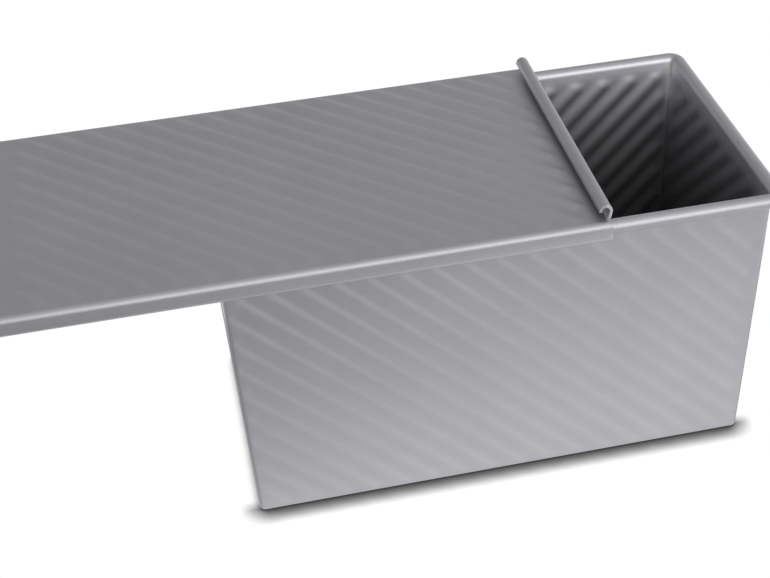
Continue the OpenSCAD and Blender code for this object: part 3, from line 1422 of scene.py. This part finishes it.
# ---------------------------------------------------------------- lid
@dataclass
class Lid:
    """Flat ribbed lid with hemmed side channels, a stop lip and a curled grip.

    Attributes:
        rule: Pattern of the ribs.
        low: Lowest corner of the lid's box.
        high: Highest corner of the lid's box.
        under: Height of the lid's underside.
        thick: Thickness of the sheet.
        bend_r: Inside radius of the bends.
        hem_top: Height of the hems' upper face.
        hem_reach: Reach of each hem inward from the inside of the channel.
        lip_drop: Height of the lip under the lid's underside.
        lip_notch: Notch between the lip and each side channel.
        foot_r: Inside radius of the bend at the foot of the grip.
        grip_lean: Outward lean of the riser in degrees.
        riser: Length of the riser.
        curl_r: Outside radius of the curl.
        curl_wrap: Turn of the curl in degrees.
        panel_l: Length of the flat panel, from the lip's bend to the grip's.
        channel_over: Length of the side channels past the panel.
        grip_inset: Inset of the grip's ends from the sides of the lid.
        rib_h: Height of the ribs.
        rib_shift: Shift of the ribs' crowns off their middle.
        rib_half_w: Half width of a rib at the sheet.
        border: Plain border beside the long edges.
        end_border: Plain border at the two ends.
        bevel: Width of the softened cut edges.
        bare_end_highlight: How much the grip's bare cut ends are lightened and
            smoothed, as bare metal with a painted highlight.
        hem_wear_and_highlight: How much the channels' lower bends are smoothed, as worn
            by handling, and lightened with a painted highlight.
        bare_from: Distance past the panel where the bare ends of the grip begin.
        bare_near: Reach of the bare metal from the ends of the grip.
        bend_steps: Mesh steps round a bend.
        foot_steps: Mesh steps round the bend at the foot of the grip.
        curl_steps: Mesh steps round the curl.
    """

    rule: RibRule
    low: Vector
    high: Vector
    under: float = 113.3
    thick: float = 1.0
    bend_r: float = 1.3
    hem_top: float = 107.35
    hem_reach: float = 2.8
    lip_drop: float = 6.5
    lip_notch: float = 1.2
    foot_r: float = 1.0
    grip_lean: float = 11.5
    riser: float = 2.4
    curl_r: float = 2.4
    curl_wrap: float = 200.0
    panel_l: float = 208.1
    channel_over: float = 2.0
    grip_inset: float = 3.0
    rib_h: float = 0.4
    rib_shift: float = 0.9
    rib_half_w: float = 1.744
    border: float = 2.0
    end_border: float = 8.0
    bevel: float = 0.14
    bare_end_highlight: float = 2.0
    hem_wear_and_highlight: float = 0.6
    bare_from: float = 0.3
    bare_near: float = 0.1
    bend_steps: int = 8
    foot_steps: int = 6
    curl_steps: int = 22

    def __post_init__(self) -> None:
        """Works out the sizes that follow from the others."""
        self.channel_y = self.high.y / MM - self.thick
        self.panel_y = self.channel_y - self.bend_r
        self.start_x = self.low.x / MM + self.thick + self.bend_r
        self.end_x = self.start_x + self.panel_l
        self.middle = self.thick / 2.0

    def build(self, press: RibPress, finish: bpy.types.Material) -> bpy.types.Object:
        """Builds the lid as one piece.

        Args:
            press: Tree that presses the ribs.
            finish: Material of the sheet.

        Returns:
            The finished piece.
        """
        sheet = Sheet(self.rule)
        half_x, lip_y = self.panel_l / 2.0, self.panel_y - self.lip_notch
        grip_y = self.channel_y + self.thick - self.grip_inset
        outline = [
            (-half_x, -self.panel_y),
            (half_x, -self.panel_y),
            (half_x, -grip_y),
            (half_x, grip_y),
            (half_x, self.panel_y),
            (-half_x, self.panel_y),
            (-half_x, lip_y),
            (-half_x, -lip_y),
        ]
        span_x = half_x - self.end_border
        span_y = self.panel_y - self.border - self.rib_half_w
        centre_x = (self.start_x + self.end_x) / 2.0
        centre = Vector((centre_x, 0.0, self.under + self.middle))
        window = Window(span_x, 0.0, -span_y, span_y)
        top = Panel(sheet, Place(centre, RIGHT, BACK, UP), outline, window)
        for index, side in ((0, -1.0), (4, 1.0)):
            self._channel(sheet, top.edge(index), side)
        self._swept_in_y(sheet, top.edge(2), self._grip_section())
        self._swept_in_y(sheet, top.edge(6), self._lip_section())
        sizes = (self.rib_h, self.rib_shift, self.thick, self.bevel)
        obj = sheet.finish("lid_sheet", press, *sizes, finish)
        self._mark_wear_and_highlight(obj.data, grip_y)
        keep_in_box(obj.data, self.low, self.high)
        return obj

    def _mark_wear_and_highlight(self, mesh: bpy.types.Mesh, grip_y: float) -> None:
        """Stores where the metal is bare or worn, with a painted highlight that
        lightens it.

        Args:
            mesh: The lid's mesh.
            grip_y: Distance of the grip's ends from the middle.
        """
        x, y, z = read_points(mesh).T / MM
        bare = (x > self.end_x + self.bare_from) & (z > self.under)
        bare &= abs(abs(y) - grip_y) < self.bare_near
        worn = (z < self.hem_top + self.bend_r) & (abs(y) > self.panel_y)
        # Bare ends and worn hems are smoothed, and also lightened with a painted
        # highlight.
        shine = np.where(bare, self.bare_end_highlight, np.where(worn, self.hem_wear_and_highlight, 0.0))
        write_numbers(mesh, "edge_wear_and_highlight", shine)

    def _channel(self, sheet: Sheet, edge: Row, side: float) -> None:
        """Makes a side channel: top bend, leg, lower bend and hem.

        Args:
            sheet: The lid's sheet.
            edge: The panel's long edge.
            side: 1 for the far side, -1 for the near one.
        """
        radius, steps = self.bend_r + self.middle, self.bend_steps
        head = (self.panel_y, self.under - self.bend_r)
        foot = (self.panel_y, self.hem_top + self.bend_r)
        section = arc(head, radius, 90.0, 0.0, steps)
        section += arc(foot, radius, 0.0, -90.0, steps)
        section.append((self.channel_y - self.hem_reach, self.hem_top - self.middle))
        top_y, top_z = section[0]
        past = Vector((self.end_x + self.channel_over, side * top_y, top_z))
        edge = sorted([*edge, sheet.point(past)], key=lambda vert: vert.co.x)
        rows = [edge]
        for y, z in section[1:]:
            rows.append([sheet.point(Vector((v.co.x / MM, side * y, z))) for v in edge])
        sheet.loft(rows)

    def _swept_in_y(self, sheet: Sheet, edge: Row, section: list[Point2]) -> None:
        """Sweeps a section along an end of the panel.

        Args:
            sheet: The lid's sheet.
            edge: The part of the panel's end that the section starts from.
            section: Places of x and z, the first of them on the edge.
        """
        rows = [edge]
        for x, z in section[1:]:
            rows.append([sheet.point(Vector((x, v.co.y / MM, z))) for v in edge])
        sheet.loft(rows)

    def _grip_section(self) -> list[Point2]:
        """Draws the section of the grip: foot bend, leaning riser and curl.

        Returns:
            Places of x and z.
        """
        foot = (self.end_x, self.under + self.thick + self.foot_r)
        radius = self.foot_r + self.middle
        section = arc(foot, radius, -90.0, -self.grip_lean, self.foot_steps)
        lean = math.radians(-self.grip_lean)
        back = self.foot_r + self.thick - self.curl_r
        head = (
            foot[0] + back * math.cos(lean) - self.riser * math.sin(lean),
            foot[1] + back * math.sin(lean) + self.riser * math.cos(lean),
        )
        return section + arc(
            head,
            self.curl_r - self.middle,
            -self.grip_lean,
            self.curl_wrap - self.grip_lean,
            self.curl_steps,
        )

    def _lip_section(self) -> list[Point2]:
        """Draws the section of the stop lip: bend and leg.

        Returns:
            Places of x and z.
        """
        radius = self.bend_r + self.middle
        head = (self.start_x, self.under - self.bend_r)
        section = arc(head, radius, 90.0, 180.0, self.bend_steps)
        section.append((self.start_x - radius, self.under - self.lip_drop))
        return section


def arc(
    centre: Point2, radius: float, start: float, end: float, steps: int
) -> list[Point2]:
    """Points along an arc.

    Args:
        centre: Centre of the arc.
        radius: Radius.
        start: First angle in degrees.
        end: Last angle in degrees.
        steps: Count of equal steps.

    Returns:
        The points, both ends among them.
    """
    angles = (math.radians(start + (end - start) * i / steps) for i in range(steps + 1))
    return [
        (centre[0] + radius * math.cos(a), centre[1] + radius * math.sin(a))
        for a in angles
    ]


# ---------------------------------------------------------------- object helpers
def new_object(name: str, data: Any) -> bpy.types.Object:
    """Adds an object for a mesh, a lamp or a camera to the scene.

    Args:
        name: Name of the object.
        data: The mesh, lamp or camera.

    Returns:
        The object.
    """
    made = bpy.data.objects.new(name, data)
    bpy.context.scene.collection.objects.link(made)
    return made


def read_points(mesh: bpy.types.Mesh) -> np.ndarray:
    """Reads the places of a mesh's points.

    Args:
        mesh: The mesh.

    Returns:
        One row of x, y and z in metres for each point.
    """
    flat = np.empty(len(mesh.vertices) * 3, np.float32)
    mesh.vertices.foreach_get("co", flat)
    return flat.reshape(-1, 3).astype(float)


def read_numbers(mesh: bpy.types.Mesh, name: str) -> np.ndarray:
    """Reads a number for each point of a mesh.

    Args:
        mesh: The mesh.
        name: Name of its attribute.

    Returns:
        The numbers, zero where the mesh has none.
    """
    found = np.zeros(len(mesh.vertices), np.float32)
    attribute = mesh.attributes.get(name)
    if attribute is not None:
        attribute.data.foreach_get("value", found)
    return found


def write_numbers(mesh: bpy.types.Mesh, name: str, values: np.ndarray) -> None:
    """Stores a number for each point of a mesh."""
    attribute = mesh.attributes.new(name, "FLOAT", "POINT")
    attribute.data.foreach_set("value", values.astype(np.float32))


def keep_in_box(mesh: bpy.types.Mesh, low: Vector, high: Vector) -> None:
    """Draws points that rounding put outside the solid's box back onto it.

    Args:
        mesh: The mesh.
        low: Lowest corner of the box.
        high: Highest corner of the box.
    """
    points = np.clip(read_points(mesh), low, high).astype(np.float32)
    mesh.vertices.foreach_set("co", points.ravel())
    mesh.update()


def drop_helpers(mesh: bpy.types.Mesh) -> None:
    """Removes the building attributes that no material reads.

    Args:
        mesh: The mesh.
    """
    for name in (*RibPress.FIELDS, "rib_normal", "seam"):
        found = mesh.attributes.get(name)
        if found is not None:
            mesh.attributes.remove(found)


# ---------------------------------------------------------------- studio
@dataclass(frozen=True)
class PhotoCamera:
    """Camera of the photograph, for an image of 770 by 578.

    Attributes:
        azimuth: Direction of view, turned from +Y towards +X, in degrees.
        elevation: How far the view looks down, in degrees.
        roll: Turn about the line of view, in degrees.
        focal: Focal length in pixels.
        place: Camera's place in its own turned axes: right, up and forward.
        centre: Where the line of view meets the image, in pixels.
        size: Width and height of the image.
        sensor: Width of the sensor in millimetres.
        clip: Nearest and farthest distance seen, in metres.
    """

    azimuth: float = 11.305
    elevation: float = 37.169
    roll: float = -2.408
    focal: float = 1540.319
    place: tuple[float, float, float] = (-12.302, 32.818, -640.309)
    centre: Point2 = (444.721, 309.899)
    size: tuple[int, int] = (770, 578)
    sensor: float = 36.0
    clip: Point2 = (0.01, 100.0)

    def build(self) -> None:
        """Makes the camera and sets it as the scene's."""
        az, el = math.radians(self.azimuth), math.radians(self.elevation)
        roll = math.radians(self.roll)
        forward = Vector(
            (math.sin(az) * math.cos(el), math.cos(az) * math.cos(el), -math.sin(el))
        )
        side = forward.cross(UP).normalized()
        top = side.cross(forward)
        right = math.cos(roll) * side + math.sin(roll) * top
        up = math.cos(roll) * top - math.sin(roll) * side
        width, height = self.size
        data = bpy.data.cameras.new("photo_camera")
        data.sensor_width = self.sensor
        data.sensor_fit = "HORIZONTAL"
        data.lens = self.focal / width * self.sensor
        data.shift_x = (width / 2.0 - self.centre[0]) / width
        data.shift_y = (self.centre[1] - height / 2.0) / width
        data.clip_start, data.clip_end = self.clip
        camera = new_object("photo_camera", data)
        turn = Matrix((right, up, -forward)).transposed()
        where = right * self.place[0] + up * self.place[1] + forward * self.place[2]
        camera.matrix_world = Matrix.Translation(where * MM) @ turn.to_4x4()
        bpy.context.scene.camera = camera


@dataclass(frozen=True)
class Softbox:
    """A square or oblong area lamp.

    Attributes:
        name: Name of the lamp.
        place: Place in metres.
        aim: Point that it faces, in metres.
        size: Width and height in metres.
        power: Power in watts.
    """

    name: str
    place: tuple[float, float, float]
    aim: tuple[float, float, float]
    size: tuple[float, float]
    power: float

    def build(self) -> None:
        """Makes the lamp."""
        data = bpy.data.lights.new(self.name, "AREA")
        data.shape = "RECTANGLE"
        data.size, data.size_y = self.size
        data.energy = self.power
        lamp = new_object(self.name, data)
        lamp.location = self.place
        way = Vector(self.aim) - Vector(self.place)
        lamp.rotation_mode = "QUATERNION"
        lamp.rotation_quaternion = way.to_track_quat("-Z", "Y")


@dataclass
class Studio:
    """Plain white floor, backdrop, soft lamps and the camera.

    Attributes:
        camera: The photograph's camera.
        lamps: The lamps.
        light: Strength of the even light from all sides.
        floor_half: Half the floor's side, in metres.
        floor_matt: Grey of the floor as it lights the object.
        shade_reach: How far from the object the floor darkens, in metres.
        shade_samples: Rays that look for the object.
        shade_floor: Level of the floor where it touches the object.
        shade_top: Level of the floor away from the object.
        shade_front: Place across the floor up to which the shadow is deeper.
        shade_blend: Width of the change to the deeper shadow, in metres.
        front_power: Steepness of the deeper shadow.
        side_power: Steepness of the shadow elsewhere.
        side_gain: How much sooner the shadow elsewhere ends.
        floor_side: Growth of the floor's level in reflections, per metre to the right.
        floor_depth: Growth of that level per metre to the back.
        floor_level: That level at the origin.
        floor_range: Least and greatest such level.
        sky: Level of the backdrop in reflections against the height of the direction.
        sky_side: Growth of the backdrop's level to the right.
        sky_front: Growth of the backdrop's level to the front.
    """

    camera: PhotoCamera = field(default_factory=PhotoCamera)
    lamps: tuple[Softbox, ...] = (
        Softbox("front_softbox", (0.35, -1.4, 0.8), (0.0, 0.0, 0.08), (1.6, 1.0), 12.0),
    )
    light: float = 0.6
    floor_half: float = 6.0
    floor_matt: float = 0.8
    shade_reach: float = 0.008
    shade_samples: int = 16
    shade_floor: float = 0.05
    shade_top: float = 1.02
    shade_front: float = -0.043
    shade_blend: float = 0.005
    front_power: float = 4.0
    side_power: float = 2.8
    side_gain: float = 1.5
    floor_side: float = 2.8
    floor_depth: float = 5.5
    floor_level: float = 1.6
    floor_range: Point2 = (0.35, 1.1)
    sky: tuple[Point2, ...] = (
        (0.0, 1.2),
        (0.05, 1.2),
        (0.28, 0.49),
        (0.6, 0.41),
        (0.85, 0.67),
        (1.0, 0.78),
    )
    sky_side: float = 0.4
    sky_front: float = 0.6

    def build(self) -> None:
        """Makes the floor, the world, the lamps and the camera."""
        bpy.context.scene.view_settings.view_transform = "Standard"
        self._floor()
        self._world()
        for lamp in self.lamps:
            lamp.build()
        self.camera.build()

    def _floor(self) -> None:
        """Makes the floor, which reads as white and keeps the object's shadow."""
        mesh = bpy.data.meshes.new("floor")
        h = self.floor_half
        mesh.from_pydata(
            [(-h, -h, 0.0), (h, -h, 0.0), (h, h, 0.0), (-h, h, 0.0)], [], [(0, 1, 2, 3)]
        )
        mesh.materials.append(self._floor_material())
        new_object("floor", mesh)

    def _floor_material(self) -> bpy.types.Material:
        """Makes the floor's material.

        It is white to the camera and darker close to the object, graded in
        reflections, and plain and matt for the light that it throws back.

        Returns:
            The material.
        """
        made = bpy.data.materials.new("white_floor")
        build = NodeBuilder.on(made)
        seen, direct = self._seen(build)
        x, y, _ = build.parts(build.out("ShaderNodeTexCoord", output="Object"))
        level = self.floor_level + x * self.floor_side + y * self.floor_depth
        level = build.between(level, *self.floor_range)
        level = direct * self._contact_shade(build, y) + (1.0 - direct) * level
        glow = build.out(
            "ShaderNodeEmission", sockets={"Color": grey(1.0), "Strength": level}
        )
        matt = build.out(
            "ShaderNodeBsdfDiffuse", sockets={"Color": grey(self.floor_matt)}
        )
        shader = build.out("ShaderNodeMixShader", sockets={0: seen, 1: matt, 2: glow})
        build.add("ShaderNodeOutputMaterial", sockets={"Surface": shader})
        return made

    def _contact_shade(self, build: NodeBuilder, y: Signal) -> Signal:
        """Adds the darkening of the floor near the object.

        Args:
            build: Builder of the floor's material.
            y: Place across the floor.

        Returns:
            The floor's level, deeper in front of the object than beside it.
        """
        close = build.out(
            "ShaderNodeAmbientOcclusion",
            {"samples": self.shade_samples},
            {"Distance": self.shade_reach},
            output="AO",
        )
        front = build.between((self.shade_front - y) / self.shade_blend, 0.0, 1.0)
        beside = build.math("MINIMUM", close * self.side_gain, 1.0) ** self.side_power
        close = close**self.front_power * front + beside * (1.0 - front)
        return self.shade_floor + close * (self.shade_top - self.shade_floor)

    def _world(self) -> None:
        """Makes the backdrop: white, graded in reflections, and plain light."""
        world = bpy.data.worlds.new("studio")
        bpy.context.scene.world = world
        build = NodeBuilder.on(world)
        seen, direct = self._seen(build)
        x, y, z = build.parts(build.out("ShaderNodeTexCoord", output="Generated"))
        stops = [(at, grey(level)) for at, level in self.sky]
        sky = build.out("ShaderNodeValToRGB", {"stops": stops}, {"Fac": z})
        front = build.math("MAXIMUM", 0.0 - y, 0.0)
        level = sky * (1.0 + x * self.sky_side + front * self.sky_front)
        level = direct + (1.0 - direct) * level
        light, shown = (
            build.out(
                "ShaderNodeBackground",
                sockets={"Color": grey(1.0), "Strength": strength},
            )
            for strength in (self.light, level)
        )
        shader = build.out("ShaderNodeMixShader", sockets={0: seen, 1: light, 2: shown})
        build.add("ShaderNodeOutputWorld", sockets={"Surface": shader})

    @staticmethod
    def _seen(build: NodeBuilder) -> tuple[Signal, Signal]:
        """Tells the rays apart by where they come from.

        Args:
            build: Builder of the floor's or the world's tree.

        Returns:
            1 for rays that see the backdrop, straight or in a reflection, and 1 for
            those of them that come from the camera.
        """
        path = build.add("ShaderNodeLightPath")
        rays = [
            Signal(build, path.outputs[name])
            for name in ("Is Camera Ray", "Is Glossy Ray", "Is Transmission Ray")
        ]
        return build.math("MINIMUM", rays[0] + rays[1] + rays[2], 1.0), rays[0]


# ---------------------------------------------------------------- whole object
@dataclass
class LoafPan:
    """The pan and its lid, dressed on the solid frame.

    Attributes:
        rule: Pattern of the ribs.
        tub_finish: Finish of the tub.
        lid_finish: Finish of the lid.
        wire_finish: Finish of the wire in the rim.
    """

    rule: RibRule = field(default_factory=RibRule)
    tub_finish: SatinSheet = SatinSheet("satin_tub_sheet", (0.42, 0.415, 0.44))
    lid_finish: SatinSheet = SatinSheet("satin_lid_sheet", (0.42, 0.415, 0.44))
    wire_finish: DrawnWire = DrawnWire()

    def build(self) -> None:
        """Builds and dresses every piece, and ties the tub and the lid to their bodies.
        """
        press = RibPress(self.rule)
        tub = Tub(self.rule, *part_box("pan_body"))
        sheet = tub.build(press, self.tub_finish.material())
        self._place(sheet, "pan", "pan_body", "coated_sheet")
        lid = Lid(self.rule, *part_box("lid"))
        sheet = lid.build(press, self.lid_finish.material())
        self._place(sheet, "lid", "lid", "lid_sheet")
        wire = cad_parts["rim_wire"]
        wire.data.materials.clear()
        wire.data.materials.append(self.wire_finish.material())
        LOG.info("rim_wire: solid kept, %d faces", len(wire.data.polygons))

    @staticmethod
    def _place(obj: bpy.types.Object, body: str, node: str, slot: str) -> None:
        """Ties a piece to what it belongs to, and reports it.

        Args:
            obj: The piece.
            body: Body that it moves with.
            node: Solid that it stands for.
            slot: Finish slot of that solid; not used.
        """
        drop_helpers(obj.data)
        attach(obj, body)
        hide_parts(node)
        obj.data.calc_loop_triangles()
        LOG.info("%s: %d triangles", obj.name, len(obj.data.loop_triangles))


def main() -> None:
    """Builds the pan, the studio and the camera."""
    logging.basicConfig(level=logging.INFO, format="%(name)s %(message)s")
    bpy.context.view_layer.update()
    LoafPan().build()
    Studio().build()


if __name__ == "__main__":
    main()
